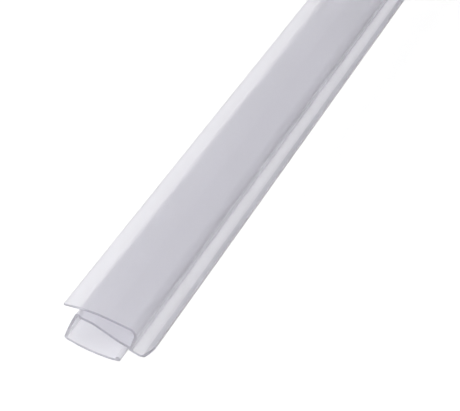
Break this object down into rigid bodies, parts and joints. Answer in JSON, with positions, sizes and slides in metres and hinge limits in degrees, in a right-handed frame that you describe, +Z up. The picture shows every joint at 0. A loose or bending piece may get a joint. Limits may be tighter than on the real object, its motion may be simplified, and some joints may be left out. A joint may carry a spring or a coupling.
{
  "type": "shower door seal strip",
  "caption": "Clear extruded seal strip: a clip that pushes onto a glass edge, with a curved soft fin and a bowed skirt along its length.",
  "frame": {"origin": "centre of the strip's footprint, on the floor it lies on", "axes": "+Y along the strip, +X across it towards the fin, +Z up"},
  "size_m": [0.0298, 0.6, 0.0173],
  "materials": {
    "clear_pvc": "clear, faintly blue, glossy with fine lines along the extrusion"
  },
  "bodies": {
    "root": {"seal_strip": "clear_pvc"}
  },
  "joints": []
}
